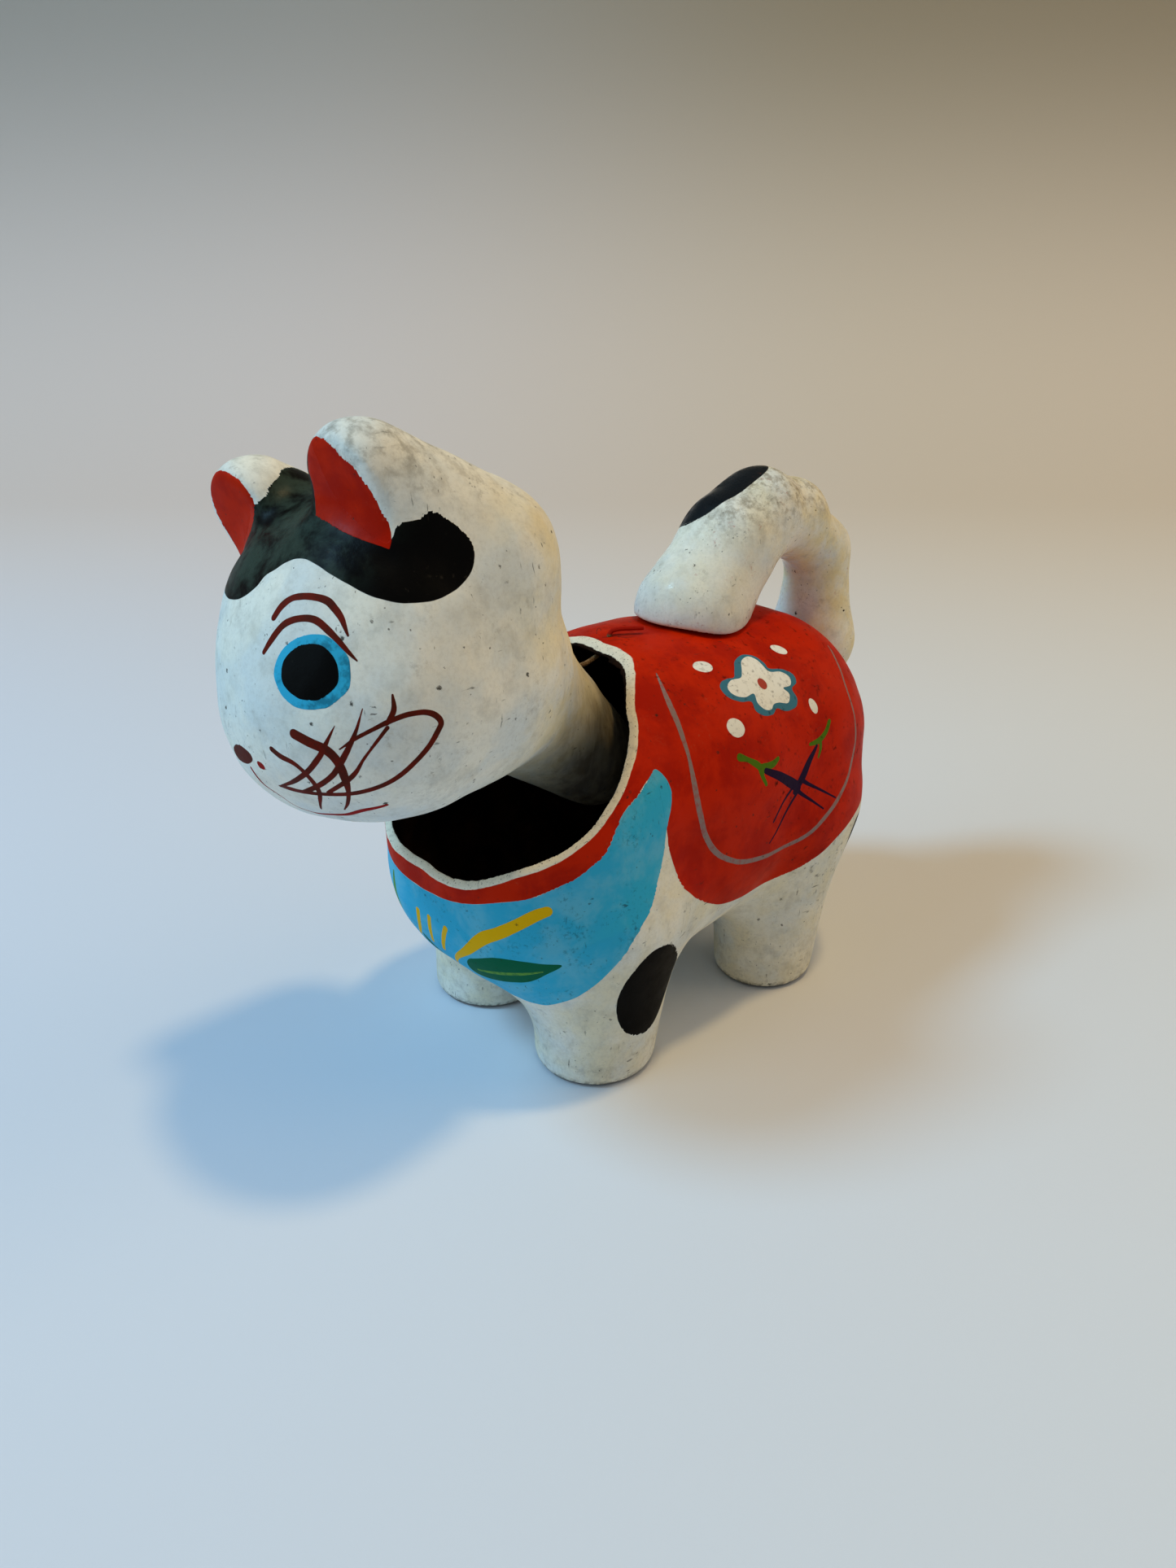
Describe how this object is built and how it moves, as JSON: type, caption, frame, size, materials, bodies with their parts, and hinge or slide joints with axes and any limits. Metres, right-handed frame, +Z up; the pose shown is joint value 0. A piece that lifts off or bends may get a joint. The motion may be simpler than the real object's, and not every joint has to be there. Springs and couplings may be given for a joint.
{
  "type": "papier-mache nodding cat",
  "caption": "Hollow four-legged cat figure with a separate hollow head hung by a thread in its open neck so that it nods, and an arched tail.",
  "frame": {"origin": "on the ground, under the middle of the whole figure", "axes": "+X is the cat's left, -Y is the way it faces, +Z is up"},
  "size_m": [0.0674, 0.1566, 0.1292],
  "materials": {
    "body_paint": "satin hand paint in red and blue over papier-mache, bare brown paper inside",
    "head_paint": "worn chalk-white paint over papier-mache with black, red and blue markings",
    "tail_paint": "worn chalk-white paint over papier-mache with a black patch",
    "thread": "twisted cotton thread, partly painted over"
  },
  "bodies": {
    "body": {"body": "body_paint", "tail": "tail_paint", "neck_thread": "thread"},
    "head": {"head": "head_paint"}
  },
  "joints": [
    {"name": "head_nod", "type": "hinge", "parent": "body", "child": "head", "pos_m": [0, -0.0068, 0.0771], "axis": [1, 0, 0], "range_deg": [-15, 0]}
  ]
}
